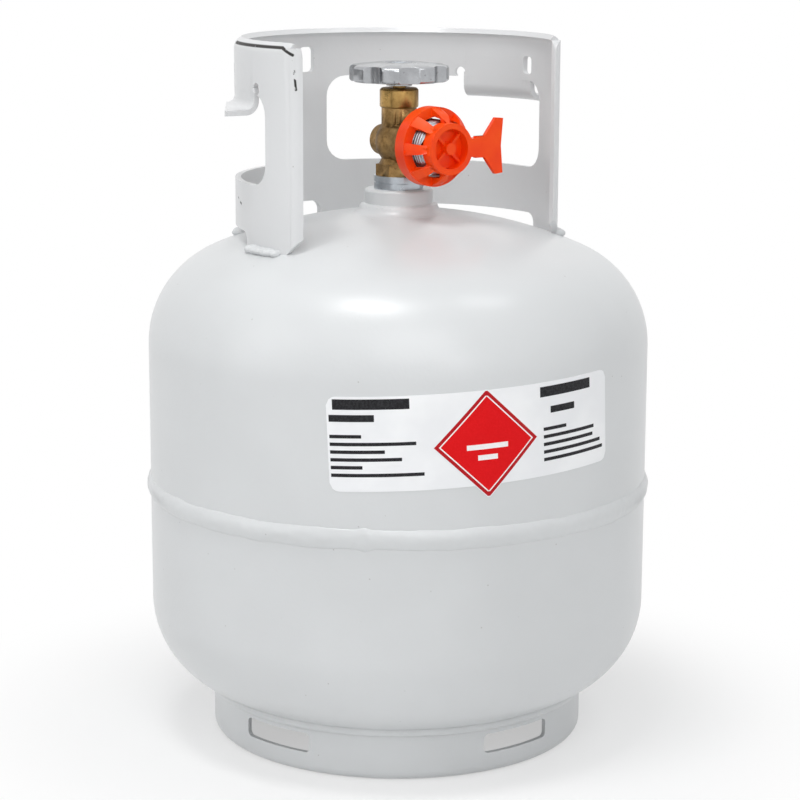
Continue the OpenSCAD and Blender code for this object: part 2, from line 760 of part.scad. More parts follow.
module handwheel_screw() {
    head_z = wheel_z + wheel_h - 0.75;
    color(plated) difference() {
        union() {
            translate([0, 0, head_z]) cylinder(r1 = 5.4, r2 = 4.2, h = 2.4);
            translate([0, 0, stem_top - 7]) cylinder(r = 1.9, h = head_z - stem_top + 7.5);
        }
        for (a = [0, 90]) rotate([0, 0, a]) translate([-2.4, -0.5, head_z + 1]) cube([4.8, 1, 2]);
    }
}

// ---- outlet cap ----

cap_at = outlet_reach + 9 - cap_len;
cap_end = outlet_reach + 9;

// Moulded cap: a cage over the thread, a plug in the socket and a pull tab
module outlet_cap() {
    bore = shoulder_r + 0.6;
    rib_half = 9;
    band_l = 9;
    recess = cap_front_r - 3.5;
    color(orange) along_outlet(0) {
        ring(bore, cap_r, cap_at, cap_at + band_l);
        for (i = [0:rib_count - 1])
            rotate([0, 0, 360 / rib_count * i - rib_half - 90]) rotate_extrude(angle = 2 * rib_half)
                polygon([[bore + 1, cap_at + band_l - 1], [cap_r, cap_at + band_l - 1],
                         [outlet_r + 3.2, outlet_reach + 0.6],
                         [cap_front_r, outlet_reach + 5], [cap_front_r - 3, outlet_reach + 5],
                         [cap_front_r - 3, outlet_reach + 0.6], [outlet_r + 1.1, outlet_reach + 0.6]]);
        difference() {
            translate([0, 0, outlet_reach + 0.6]) cylinder(r = cap_front_r, h = cap_end - outlet_reach - 0.6);
            translate([0, 0, outlet_reach + 2.2]) cylinder(r = recess, h = cap_len);
        }
        translate([0, 0, outlet_reach + 1.5]) cylinder(r = 3.5, h = cap_end - outlet_reach - 2);
        for (a = [45, 135]) rotate([0, 0, a])
            translate([-recess - 0.5, -0.8, outlet_reach + 1.5]) cube([2 * recess + 1, 1.6, 4]);
        ring(9, socket_r - seat_gap, seal_at + seal_t + 1.5, outlet_reach + 1);
        translate([cap_front_r - 2, -5.5, cap_end - 7]) cube([7, 11, 7]);
        translate([0, 0, cap_end - 5]) linear_extrude(tab_t)
            polygon([[cap_front_r + 4, -6.5], [tab_reach * 0.66, -6.5],
                     [tab_reach * 0.86, -tab_end / 2], [tab_reach, -tab_end / 2 + 0.5],
                     [tab_reach - 1.5, 0], [tab_reach, tab_end / 2 - 0.5],
                     [tab_reach * 0.86, tab_end / 2], [tab_reach * 0.66, 6.5], [cap_front_r + 4, 6.5]]);
    }
}

// ---- overfill stop ----

pivot_z = shank_z - 33;
pin_r = 1.2;
arm_w = 4;
stop_r = 11.5;

// Housing under the shank: a spigot, a neck and a slotted skirt for the float's arm
module stop_housing() {
    color([0.86, 0.86, 0.82]) difference() {
        union() {
            translate([0, 0, shank_z]) cylinder(r = 6.4, h = 7.8);
            translate([0, 0, shank_z - 12]) cylinder(r = 7.3, h = 12);
            translate([0, 0, pivot_z - 5]) cylinder(r = stop_r, h = shank_z - 12 - pivot_z + 5);
        }
        translate([0, 0, pivot_z + 2.5]) cylinder(r = 5.5, h = shank_z - 8 - pivot_z);
        translate([0, 0, pivot_z]) cylinder(r = 3.5, h = 60);
        translate([-arm_w / 2 - 0.5, -20, pivot_z - 10]) cube([arm_w + 1, 25, 21]);
        translate([-20, 0, shank_z - 9]) rotate([0, 90, 0]) cylinder(r = 2, h = 40);
        translate([-20, 0, pivot_z]) rotate([0, 90, 0]) cylinder(r = pin_r + fit_gap / 2, h = 40);
        translate([drill_at, 0, pivot_z - 10]) cylinder(r = 1.5 + fit_gap, h = 60);
    }
}

// Thin tube that shows when the liquid has reached its highest level
module level_tube() {
    color(brass) difference() {
        translate([drill_at, 0, shank_z - level_len]) cylinder(r = 1.5, h = level_len + 5.9);
        translate([drill_at, 0, shank_z - level_len - 1]) cylinder(r = 0.9, h = level_len + 8);
    }
}

module stop_plunger() {
    color(plated) {
        translate([0, 0, pivot_z + 4]) cylinder(r = 5.2, h = 17);
        translate([0, -3.9, pivot_z + 0.9]) cylinder(r = 0.9, h = 4);
    }
}

module arm_pin() {
    color(plated) translate([-stop_r + 0.6, 0, pivot_z]) rotate([0, 90, 0])
        cylinder(r = pin_r, h = drill_at - 1.7 + stop_r - 0.6);
}

arm_len = 34;

// Places children along the float's arm, whose own +Z runs out from the pivot
module along_arm(d) {
    translate([0, 0, pivot_z]) rotate([90 + arm_drop, 0, 0]) translate([0, 0, d]) children();
}

module float_arm() {
    color(plated) difference() {
        union() {
            translate([-arm_w / 2, 0, pivot_z]) rotate([0, 90, 0]) cylinder(r = 2.8, h = arm_w);
            along_arm(0) translate([-arm_w / 2, -2, 0]) cube([arm_w, 4, arm_len]);
            along_arm(arm_len - 1) cylinder(r = 2, h = float_len - 6);
        }
        translate([-20, 0, pivot_z]) rotate([0, 90, 0]) cylinder(r = pin_r + run_gap, h = 40);
    }
}

module float() {
    color([0.2, 0.2, 0.22]) difference() {
        along_arm(arm_len) {
            cylinder(r1 = float_r - 3, r2 = float_r, h = 3);
            translate([0, 0, 3]) cylinder(r = float_r, h = float_len - 6);
            translate([0, 0, float_len - 3]) cylinder(r1 = float_r, r2 = float_r - 3, h = 3);
        }
        along_arm(arm_len - 2) cylinder(r = 2 + fit_gap, h = float_len - 4);
    }
}

upper_shell();
lower_shell();
girth_weld();
foot_ring();
foot_ring_weld();
collar();
collar_welds();
sticker();
valve_boss();
boss_weld();
wrench_collar();
valve_body();
outlet_nipple();
outlet_seal();
check_poppet();
check_spring();
outlet_cap();
relief_poppet();
relief_spring();
relief_retainer();
bleeder_screw();
bonnet_nut();
upper_spindle();
spindle_ring();
lower_spindle();
seat_disc();
handwheel();
handwheel_screw();
stop_housing();
level_tube();
stop_plunger();
arm_pin();
float_arm();
float();
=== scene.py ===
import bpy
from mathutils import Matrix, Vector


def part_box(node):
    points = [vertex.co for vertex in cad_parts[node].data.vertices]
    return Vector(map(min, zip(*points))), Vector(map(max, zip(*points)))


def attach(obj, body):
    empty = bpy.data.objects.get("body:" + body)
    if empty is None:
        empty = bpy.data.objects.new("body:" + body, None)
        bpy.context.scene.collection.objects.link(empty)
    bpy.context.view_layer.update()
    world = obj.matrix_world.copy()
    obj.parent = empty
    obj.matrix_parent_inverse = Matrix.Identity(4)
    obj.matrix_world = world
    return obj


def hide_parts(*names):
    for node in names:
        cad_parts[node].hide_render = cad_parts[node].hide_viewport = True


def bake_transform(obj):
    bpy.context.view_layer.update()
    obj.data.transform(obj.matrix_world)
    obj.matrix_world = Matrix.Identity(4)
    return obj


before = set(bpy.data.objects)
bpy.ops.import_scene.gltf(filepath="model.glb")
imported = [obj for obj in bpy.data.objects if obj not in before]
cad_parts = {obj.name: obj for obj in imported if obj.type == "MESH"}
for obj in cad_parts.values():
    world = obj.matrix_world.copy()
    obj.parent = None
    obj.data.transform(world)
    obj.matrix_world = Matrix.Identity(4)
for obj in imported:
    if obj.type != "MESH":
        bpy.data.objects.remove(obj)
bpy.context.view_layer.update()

# ---- camera, floor and lights ----
# A long lens looks down a little on the cylinder from its left front. It stands on a white
# studio floor, under one wide soft lamp overhead and weaker ones at the front and sides. A
# narrow one from the front reaches into the collar and lights the valve.

import math

import bmesh
import bpy
import numpy as np
from mathutils import Matrix, Vector, noise

AROUND, DOWN = math.radians(35), math.radians(11.878)
AWAY, EYE = 1.4855, 0.5208
scene = bpy.context.scene
scene.view_settings.view_transform = "Standard"

lens = bpy.data.cameras.new("studio_camera")
lens.lens, lens.sensor_width, lens.shift_x = 108.85, 36, 0.0025
camera = bpy.data.objects.new("studio_camera", lens)
camera.location = (-AWAY * math.sin(AROUND), -AWAY * math.cos(AROUND), EYE)
sight = Vector((math.sin(AROUND) * math.cos(DOWN), math.cos(AROUND) * math.cos(DOWN), -math.sin(DOWN)))
turn = sight.to_track_quat("-Z", "Y").to_matrix() @ Matrix.Rotation(math.radians(0.211), 3, "Z")
camera.rotation_euler = turn.to_euler()
scene.collection.objects.link(camera)
scene.camera = camera


def new_finish(name):
    """A node material with its shader, and where a point of the piece lies."""
    finish = bpy.data.materials.new(name)
    finish.use_nodes = True
    tree = finish.node_tree
    place = tree.nodes.new("ShaderNodeTexCoord").outputs["Object"]
    return finish, tree, tree.nodes["Principled BSDF"], place


def add(tree, kind, inputs={}, **settings):
    """A node with its settings, and its inputs given as values or as other nodes' outputs."""
    node = tree.nodes.new(kind)
    for key, value in settings.items():
        setattr(node, key, value)
    for key, value in inputs.items():
        if isinstance(value, bpy.types.NodeSocket):
            tree.links.new(value, node.inputs[key])
        else:
            node.inputs[key].default_value = value
    return node


def calc(tree, operation, a, b=0.0, clamp=False):
    return add(tree, "ShaderNodeMath", {0: a, 1: b}, operation=operation, use_clamp=clamp).outputs[0]


def fade(tree, value, low, high, to_low=0.0, to_high=1.0):
    """value from low to high, eased into to_low up to to_high."""
    return add(tree, "ShaderNodeMapRange", {"Value": value, "From Min": low, "From Max": high,
               "To Min": to_low, "To Max": to_high}, interpolation_type="SMOOTHSTEP").outputs["Result"]


def blend(tree, share, a, b):
    return add(tree, "ShaderNodeMix", {0: share, 6: a, 7: b}, data_type="RGBA").outputs[2]


def grain(tree, place, scale, detail=2.0, rough=0.5):
    """Soft random values from 0 to 1, about scale patches to a metre."""
    return add(tree, "ShaderNodeTexNoise", {"Vector": place, "Scale": scale, "Detail": detail,
               "Roughness": rough}).outputs[0]


def colour(red, green, blue):
    """A colour as a screen shows it, 0 to 255, for a shader."""
    return [(c / 255 / 12.92 if c <= 10 else ((c / 255 + 0.055) / 1.055) ** 2.4)
            for c in (red, green, blue)] + [1.0]


def seen_white(tree):
    """1 for what the camera, a mirror or a glass looks at, and 0 for light that falls."""
    rays = add(tree, "ShaderNodeLightPath").outputs
    return calc(tree, "ADD", calc(tree, "ADD", rays["Is Camera Ray"], rays["Is Glossy Ray"]),
                rays["Is Transmission Ray"], clamp=True)


world = bpy.data.worlds.new("studio")
world.use_nodes = True
sky = world.node_tree
tone = blend(sky, seen_white(sky), (0.46, 0.465, 0.47, 1), (1, 1, 1, 1))
sky.links.new(tone, sky.nodes["Background"].inputs["Color"])
scene.world = world

floor_finish, tree, shader, place = new_finish("studio_floor")
shader.inputs["Base Color"].default_value = colour(245, 245, 245)
shader.inputs["Roughness"].default_value = 0.85
shader.inputs["Specular IOR Level"].default_value = 0.1
apart = add(tree, "ShaderNodeVectorMath", {0: place}, operation="LENGTH").outputs["Value"]
far = fade(tree, apart, 0.15, 0.33, 0.5, 1.0)
glow = add(tree, "ShaderNodeEmission", {"Color": (1, 1, 1, 1), "Strength": 1.0})
both = add(tree, "ShaderNodeMixShader", {0: calc(tree, "MULTIPLY", far, seen_white(tree)),
           1: shader.outputs[0], 2: glow.outputs[0]})
tree.links.new(both.outputs[0], tree.nodes["Material Output"].inputs["Surface"])
floor_mesh = bpy.data.meshes.new("studio_floor")
floor_mesh.from_pydata([(-9, -9, -0.0004), (9, -9, -0.0004), (9, 9, -0.0004), (-9, 9, -0.0004)],
                       [], [(0, 1, 2, 3)])
floor_mesh.materials.append(floor_finish)
floor = bpy.data.objects.new("studio_floor", floor_mesh)
scene.collection.objects.link(floor)

for name, around, up, away, width, depth, watts in (
        ("overhead_lamp", 66, 74, 1.9, 0.62, 0.42, 12), ("left_lamp", 95, 22, 2.2, 1.2, 1.6, 7),
        ("front_lamp", 28, 34, 2.3, 1.3, 1.3, 11), ("right_lamp", -50, 66, 2.1, 0.5, 0.5, 3)):
    lamp = bpy.data.lights.new(name, "AREA")
    lamp.shape, lamp.size, lamp.size_y, lamp.energy = "RECTANGLE", width, depth, watts
    holder = bpy.data.objects.new(name, lamp)
    a, e = math.radians(around), math.radians(up)
    holder.location = Vector((-math.sin(a) * math.cos(e), -math.cos(a) * math.cos(e), math.sin(e))) * away
    holder.location.z += 0.2
    holder.rotation_euler = (Vector((0, 0, 0.22)) - holder.location).to_track_quat("-Z", "Y").to_euler()
    scene.collection.objects.link(holder)

beam = bpy.data.lights.new("collar_lamp", "SPOT")
beam.energy, beam.spot_size, beam.spot_blend, beam.shadow_soft_size = 55, math.radians(8), 0.7, 0.3
holder = bpy.data.objects.new("collar_lamp", beam)
holder.location = (-0.3, -2.0, 1.0)
holder.rotation_euler = (Vector((0, 0.07, 0.4)) - holder.location).to_track_quat("-Z", "Y").to_euler()
scene.collection.objects.link(holder)

# ---- drawn heads ----
# Two steel heads, pressed deep from sheet: a straight wall, a tight knuckle and a flatter crown.
# The lower one's rim is stepped in behind the seam. Both are powder coated light grey.

SHEET = 0.0022
SEAM = 0.159
GAP = 0.001
low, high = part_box("upper_shell")
VESSEL = (high.x - low.x) / 2
TOP_WALL, TOP_KNUCKLE, TOP_CROWN = 0.247, 0.0625, 0.297
FOOT_WALL, FOOT_KNUCKLE, FOOT_CROWN = 0.086, 0.057, 0.273
boss_low, boss_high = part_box("valve_boss")
BOSS = (boss_high.x - boss_low.x) / 2


def powder_coat(name, shade, orange_peel=1.0, chips=()):
    """Semi-gloss powder coat: fine orange peel, faint mottle, dust nibs, and chips down to primer.
    A chip line is its two ends as degrees round the axis and height, its half width, and how much
    of it is bare."""
    finish, tree, shader, place = new_finish(name)
    mottle = grain(tree, place, 9, 3)
    tint = blend(tree, fade(tree, mottle, 0.3, 0.7), [c * 0.965 for c in shade[:3]] + [1],
                 [min(c * 1.02, 1) for c in shade[:3]] + [1])
    nib = add(tree, "ShaderNodeTexVoronoi", {"Vector": place, "Scale": 85.0}).outputs["Distance"]
    tint = blend(tree, fade(tree, nib, 0.02, 0.05, 0.5, 0.0), tint, colour(150, 148, 142))
    peel = calc(tree, "ADD", grain(tree, place, 420, 2),
                calc(tree, "MULTIPLY", grain(tree, place, 60, 2), 2.5))
    bump = add(tree, "ShaderNodeBump", {"Strength": 0.5, "Distance": 0.00011 * orange_peel, "Height": peel})
    rough = fade(tree, mottle, 0.2, 0.8, 0.27, 0.36)
    bare = None
    if chips:
        axes = add(tree, "ShaderNodeSeparateXYZ", {0: place}).outputs
        around = calc(tree, "ARCTAN2", axes["X"], calc(tree, "MULTIPLY", axes["Y"], -1.0))
        unrolled = add(tree, "ShaderNodeCombineXYZ", {"X": calc(tree, "MULTIPLY", around, 0.1),
                       "Y": axes["Z"]}).outputs[0]
    for (a, low_end), (b, high_end), half, amount in chips:
        start = Vector((0.1 * math.radians(a), low_end, 0))
        line = Vector((0.1 * math.radians(b), high_end, 0)) - start
        away = add(tree, "ShaderNodeVectorMath", {0: unrolled, 1: start}, operation="SUBTRACT").outputs[0]
        along = add(tree, "ShaderNodeVectorMath", {0: away, 1: line},
                    operation="DOT_PRODUCT").outputs["Value"]
        share = calc(tree, "DIVIDE", along, line.length_squared, clamp=True)
        step = add(tree, "ShaderNodeVectorMath", {0: line, "Scale": share}, operation="SCALE").outputs[0]
        off = add(tree, "ShaderNodeVectorMath", {0: away, 1: step}, operation="DISTANCE").outputs["Value"]
        ragged = calc(tree, "MULTIPLY", fade(tree, off, half * 0.5, half, 1, 0),
                      fade(tree, grain(tree, place, 420, 3, 0.65), 0.62 - amount, 0.66 - amount))
        bare = ragged if bare is None else calc(tree, "MAXIMUM", bare, ragged)
    if bare is not None:
        tint = blend(tree, bare, tint, colour(34, 31, 30))
        rough = calc(tree, "ADD", rough, calc(tree, "MULTIPLY", bare, 0.35), clamp=True)
        edge = add(tree, "ShaderNodeBump", {"Strength": 0.6, "Distance": 0.0002,
                   "Height": calc(tree, "SUBTRACT", 1.0, bare), "Normal": bump.outputs[0]})
        bump = edge
    for socket, value in (("Base Color", tint), ("Roughness", rough), ("Normal", bump.outputs[0])):
        tree.links.new(value, shader.inputs[socket])
    shader.inputs["Coat Weight"].default_value = 0.1
    shader.inputs["Coat Roughness"].default_value = 0.16
    return finish


def placed(name, mesh_maker, finish, body, slot, *nodes, angle=35):
    """The finished mesh as a piece of the object, standing for the CAD nodes named. A piece that
    spans two bodies is given no body here."""
    mesh = bpy.data.meshes.new(name)
    mesh_maker.to_mesh(mesh)
    mesh_maker.free()
    mesh.materials.append(finish)
    mesh.shade_smooth()
    mesh.set_sharp_from_angle(angle=math.radians(angle))
    piece = bpy.data.objects.new(name, mesh)
    scene.collection.objects.link(piece)
    if body:
        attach(piece, body)
    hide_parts(*nodes)
    return piece


def bend(cx, cz, radius, start, end, steps):
    """Points of an arc, angles in degrees from outwards to upwards."""
    return [(cx + radius * math.cos(math.radians(a)), cz + radius * math.sin(math.radians(a)))
            for a in np.linspace(start, end, steps)]


def spun(line, turns=192, shape=None):
    """A closed outline of (radius, height) points spun round the upright axis.
    shape(turn, point) may move a point a little, for what was laid on by hand."""
    maker = bmesh.new()
    rings = []
    for k, (r, z) in enumerate(line):
        if r < 1e-7:
            rings.append([maker.verts.new((0, 0, z))])
            continue
        ring = []
        for i in range(turns):
            a = 2 * math.pi * i / turns
            rr, zz = shape(a, (r, z)) if shape else (r, z)
            ring.append(maker.verts.new((rr * math.cos(a), rr * math.sin(a), zz)))
        rings.append(ring)
    for one, two in zip(rings, rings[1:] + rings[:1]):
        for i in range(turns):
            j = (i + 1) % turns
            corners = [one[i % len(one)], one[j % len(one)], two[j % len(two)], two[i % len(two)]]
            corners = list(dict.fromkeys(corners))
            if len(corners) > 2:
                maker.faces.new(corners)
    bmesh.ops.recalc_face_normals(maker, faces=maker.faces)
    return maker


def head_line(wall, knuckle, crown, inset, stop):
    """One side of a head's sheet, from the wall's end over knuckle and crown to radius stop."""
    rise = math.sqrt((crown - knuckle) ** 2 - (VESSEL - knuckle) ** 2)
    joint = math.degrees(math.atan2(rise, VESSEL - knuckle))
    last = math.degrees(math.acos(stop / (crown - inset)))
    return (bend(VESSEL - knuckle, wall, knuckle - inset, 0, joint, 26) +
            bend(0, wall - rise, crown - inset, joint, last, 30)[1:])


def upside_down(line, wall):
    return [(r, 2 * wall - z) for r, z in line]


# dents and draw marks too slight to measure, but enough to bend a reflection
def drawn_sheet(a, point):
    r, z = point
    spot = Vector((math.cos(a) * 2.2, math.sin(a) * 2.2, z * 11))
    return r * (1 + 0.0007 * noise.noise(spot)), z


grey = colour(214, 216, 217)
coat = powder_coat("light_grey_powder_coat", grey)
outer = head_line(TOP_WALL, TOP_KNUCKLE, TOP_CROWN, 0, BOSS + 0.0001)
inner = head_line(TOP_WALL, TOP_KNUCKLE, TOP_CROWN, SHEET, BOSS + 0.0001)
walls = [SEAM + GAP + (TOP_WALL - SEAM) * k / 8 for k in range(8)]
line = [(VESSEL, z) for z in walls] + outer + inner[::-1] + [(VESSEL - SHEET, z) for z in walls[::-1]]
placed("upper_head", spun(line, shape=drawn_sheet), coat, "vessel", "grey_paint", "upper_shell")

outer = upside_down(head_line(FOOT_WALL, FOOT_KNUCKLE, FOOT_CROWN, 0, 0), FOOT_WALL)
inner = upside_down(head_line(FOOT_WALL, FOOT_KNUCKLE, FOOT_CROWN, SHEET, 0), FOOT_WALL)
LIP = VESSEL - SHEET - 0.0001
walls = [SEAM - GAP - (SEAM - FOOT_WALL) * k / 8 for k in range(8)]
line = ([(LIP - SHEET, SEAM + 0.012), (LIP, SEAM + 0.012), (LIP, SEAM - GAP)] + [(VESSEL, z) for z in walls] +
        outer + inner[::-1] + [(VESSEL - SHEET, SEAM - 0.009), (LIP - SHEET, SEAM - 0.005)])
placed("lower_head", spun(line, shape=drawn_sheet), coat, "vessel", "grey_paint", "lower_shell")

# ---- girth weld ----
# A single machine-laid bead of weld metal joins the heads under the paint. Its width wanders,
# fine ripples cross it, and a lump shows where the arc was stopped and started again.

BEAD, PROUD = 0.012, 0.0023
STOP_AT = math.radians(-90 - 42)


def weld_bead(a, point):
    r, z = point
    swell = noise.noise(Vector((math.cos(a) * 6, math.sin(a) * 6, 2)))
    fine = noise.noise(Vector((math.cos(a) * 40, math.sin(a) * 40, z * 260)))
    gap = abs((a - STOP_AT + math.pi) % (2 * math.pi) - math.pi)
    lump = math.exp(-(gap / 0.022) ** 2)
    out = max(r - VESSEL, 0)
    ripple = 0.00012 * math.sin(a * 520) * min(out / PROUD, 1)
    if out > 0.0001:
        r = VESSEL + out * (0.86 + 0.16 * swell + 0.12 * fine - 0.1 * lump) + ripple
    z = SEAM + (z - SEAM) * (1 + 0.1 * swell + 0.05 * fine) + 0.0006 * noise.noise(
        Vector((math.cos(a) * 11, math.sin(a) * 11, 7)))
    return min(r, VESSEL + PROUD), z - 0.0012 * lump * (1 if z < SEAM else -1)


arc_r = (BEAD ** 2 / 4 + PROUD ** 2) / (2 * PROUD)
arc_a = math.degrees(math.asin(BEAD / 2 / arc_r))
line = (bend(VESSEL + PROUD - arc_r, SEAM, arc_r, -arc_a, arc_a, 15) +
        [(VESSEL - 0.0006, SEAM + BEAD / 2), (VESSEL - 0.0006, SEAM - BEAD / 2)])
placed("girth_bead", spun(line, 1024, weld_bead), coat, "vessel", "grey_paint", "girth_weld", angle=60)

# ---- pressed and rolled parts ----
# The foot ring, the collar and the boss keep the shape they have in the CAD, with sharp edges
# broken a little. The collar's feet are welded on by hand in short beads, puddle after puddle.


def from_cad(node, name, finish, body, slot, edge=0.0, steps=2, angle=32, flats=0.4):
    """A piece with a CAD node's own shape, with smooth walls and edges broken by edge."""
    maker = bmesh.new()
    maker.from_mesh(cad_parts[node].data)
    bmesh.ops.remove_doubles(maker, verts=maker.verts, dist=2e-6)
    bmesh.ops.dissolve_limit(maker, angle_limit=math.radians(flats), verts=maker.verts, edges=maker.edges)
    piece = placed(name, maker, finish, body, slot, node, angle=angle)
    if edge:
        soften = piece.modifiers.new("broken_edge", "BEVEL")
        soften.width, soften.segments, soften.limit_method = edge, steps, "ANGLE"
        soften.angle_limit, soften.use_clamp_overlap = math.radians(angle), True
        soften.harden_normals = False
    return piece


def node_tree(name, *inputs):
    """A Geometry Nodes tree with a geometry in and out, and the named inputs given as kind, name."""
    tree = bpy.data.node_groups.new(name, "GeometryNodeTree")
    for way in ("INPUT", "OUTPUT"):
        tree.interface.new_socket("Geometry", in_out=way, socket_type="NodeSocketGeometry")
    for kind, label in inputs:
        tree.interface.new_socket(label, in_out="INPUT", socket_type="NodeSocket" + kind)
    return tree, tree.nodes.new("NodeGroupInput").outputs


def ends_with(tree, geometry, finish):
    """Closes a tree: its instances made real and given the finish."""
    real = add(tree, "GeometryNodeRealizeInstances", {"Geometry": geometry})
    painted = add(tree, "GeometryNodeSetMaterial", {"Geometry": real.outputs[0], "Material": finish})
    tree.links.new(painted.outputs[0], tree.nodes.new("NodeGroupOutput").inputs["Geometry"])


def grown(tree, settings, base=None):
    """What the tree makes from base with these inputs, as a plain mesh with no modifier left."""
    host = bpy.data.objects.new(tree.name, base or bpy.data.meshes.new(tree.name))
    scene.collection.objects.link(host)
    run = host.modifiers.new(tree.name, "NODES")
    run.node_group = tree
    for socket in tree.interface.items_tree:
        if socket.in_out == "INPUT" and socket.name in settings:
            run[socket.identifier] = settings[socket.name]
    made = host.evaluated_get(bpy.context.evaluated_depsgraph_get())
    maker = bmesh.new()
    maker.from_mesh(bpy.data.meshes.new_from_object(made))
    host.modifiers.clear()
    bpy.data.objects.remove(host)
    return maker


hand_weld, settings = node_tree("hand_laid_weld", ("Float", "Radius"), ("Float", "Start"), ("Float", "Sweep"),
                                ("Float", "Height"), ("Float", "Step"), ("Vector", "Puddle"),
                                ("Int", "Seed"), ("Material", "Finish"))
seam = add(hand_weld, "GeometryNodeCurveArc", {"Resolution": 96, "Radius": settings["Radius"],
           "Start Angle": settings["Start"], "Sweep Angle": settings["Sweep"]}, mode="RADIUS").outputs[0]
stops = add(hand_weld, "GeometryNodeCurveToPoints", {"Curve": seam, "Length": settings["Step"]},
            mode="LENGTH").outputs
puddle = add(hand_weld, "GeometryNodeMeshIcoSphere", {"Radius": 1.0, "Subdivisions": 3}).outputs[0]
size = add(hand_weld, "FunctionNodeRandomValue", {"Min": 0.72, "Max": 1.12,
           "Seed": settings["Seed"]}).outputs["Value"]
size = add(hand_weld, "ShaderNodeVectorMath", {0: settings["Puddle"], "Scale": size},
           operation="SCALE").outputs[0]
laid = add(hand_weld, "GeometryNodeInstanceOnPoints", {"Points": stops["Points"], "Instance": puddle,
           "Rotation": stops["Rotation"], "Scale": size}).outputs[0]
lifted = add(hand_weld, "ShaderNodeCombineXYZ", {"Z": settings["Height"]}).outputs[0]
laid = add(hand_weld, "GeometryNodeTransform", {"Geometry": laid, "Translation": lifted}).outputs[0]
ends_with(hand_weld, laid, settings["Finish"])
from_cad("foot_ring", "rolled_foot_ring", coat, "vessel", "grey_paint", 0.0005)
from_cad("foot_ring_weld", "foot_ring_bead", coat, "vessel", "grey_paint")
# The collar's coat is a lighter copy of the vessel's grey, as painted light for the inside of the collar,
# where less light reaches.
collar_coat_with_painted_light = powder_coat("collar_powder_coat_with_painted_light", colour(218, 219, 220), 1.0, (
    ((-116, 0.4316), (-78, 0.4318), 0.0012, 0.36), ((-78, 0.4318), (-73, 0.428), 0.0012, 0.3),
    ((-73, 0.428), (-72, 0.408), 0.0008, 0.1), ((-113, 0.342), (-106, 0.336), 0.0012, 0.06)))
from_cad("collar", "rolled_collar", collar_coat_with_painted_light, "vessel", "collar_paint", 0.0005)
WELD_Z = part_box("collar_welds")[0].z + 0.0016
WELDED_FEET = ((67, 82), (141, 154), (162, 175), (191, 204), (212, 225), (265, 280))
beads = bmesh.new()
for seed, (start, end) in enumerate(WELDED_FEET):
    bead = grown(hand_weld, {"Radius": 0.1022, "Start": math.radians(start - 90), "Seed": seed,
                 "Sweep": math.radians(end - start), "Height": WELD_Z, "Step": 0.0021,
                 "Puddle": (0.0046, 0.0026, 0.0029), "Finish": coat})
    part = bpy.data.meshes.new("one_bead")
    bead.to_mesh(part)
    beads.from_mesh(part)
placed("collar_beads", beads, coat, "vessel", "grey_paint", "collar_welds", angle=60)
from_cad("valve_boss", "valve_boss_ring", coat, "vessel", "grey_paint", 0.0004)
from_cad("boss_weld", "boss_bead", coat, "vessel", "grey_paint")

# ---- label ----
# A vinyl strip with a square set on its corner, printed and stuck to the wall. It is blank of
# words: bars stand for the print, and the square is a red field with a border and two bars.

HALF, TALL, ROUND = 0.085, 0.0275, 0.005
FROM_FRONT, MIDDLE, TILT = math.radians(-16.6), 0.2175, math.radians(2.2)


def on_wall(u, v, proud):
    """A point of the label, u along it and v up it, as it lies on the wall."""
    across = u * math.cos(TILT) - v * math.sin(TILT)
    a = FROM_FRONT + math.asin(across / VESSEL)
    r = VESSEL + proud
    return r * math.sin(a), -r * math.cos(a), MIDDLE + u * math.sin(TILT) + v * math.cos(TILT)


def lay(maker, left, right, low_edge, high_edge, back, face, which=0, step=0.0014):
    """A thin closed field on the wall between two edges, each given as a height along u."""
    count = max(2, math.ceil((right - left) / step))
    columns = []
    for k in range(count + 1):
        u = left + (right - left) * k / count
        lo, hi = low_edge(u), high_edge(u)
        if hi - lo < 2e-5:
            lo, hi = (lo + hi) / 2 - 1e-5, (lo + hi) / 2 + 1e-5
        columns.append([maker.verts.new(on_wall(u, v, h)) for v, h in
                        ((lo, back), (lo, face), (hi, face), (hi, back))])
    for one, two in zip(columns, columns[1:]):
        for j in range(4):
            maker.faces.new((one[j], two[j], two[(j + 1) % 4], one[(j + 1) % 4])).material_index = which
    for end in (columns[0], columns[-1]):
        maker.faces.new(end).material_index = which


def strip_edge(u):
    into = max(0.0, abs(u) - (HALF - ROUND))
    return TALL - ROUND + math.sqrt(max(ROUND ** 2 - into ** 2, 0))


SQUARE, BESIDE, BELOW = 0.032, 0.002, 0.0035


def square_edge(u):
    return SQUARE - abs(u - BESIDE)


vinyl, tree, shader, place = new_finish("white_vinyl")
shade = blend(tree, fade(tree, grain(tree, place, 30, 3), 0.35, 0.7),
              colour(240, 241, 243), colour(248, 249, 250))
tree.links.new(shade, shader.inputs["Base Color"])
weave = add(tree, "ShaderNodeBump", {"Strength": 0.3, "Distance": 0.00004,
            "Height": grain(tree, place, 500, 2)})
tree.links.new(weave.outputs[0], shader.inputs["Normal"])
shader.inputs["Roughness"].default_value = 0.38

maker = bmesh.new()
lay(maker, -HALF, HALF, lambda u: -max(strip_edge(u), square_edge(u) + BELOW),
    lambda u: max(strip_edge(u), square_edge(u) - BELOW), -0.0001, 0.0003)
bmesh.ops.recalc_face_normals(maker, faces=maker.faces)
label = placed("label", maker, vinyl, "vessel", "sticker_print", "sticker")


def ink(name, tint, worn):
    finish, tree, shader, place = new_finish(name)
    patchy = fade(tree, grain(tree, place, 900, 3, 0.6), 0.3, 0.75)
    tree.links.new(blend(tree, patchy, tint, worn), shader.inputs["Base Color"])
    tree.links.new(fade(tree, grain(tree, place, 160, 2), 0.3, 0.7, 0.3, 0.42), shader.inputs["Roughness"])
    shader.inputs["Specular IOR Level"].default_value = 0.15
    return finish


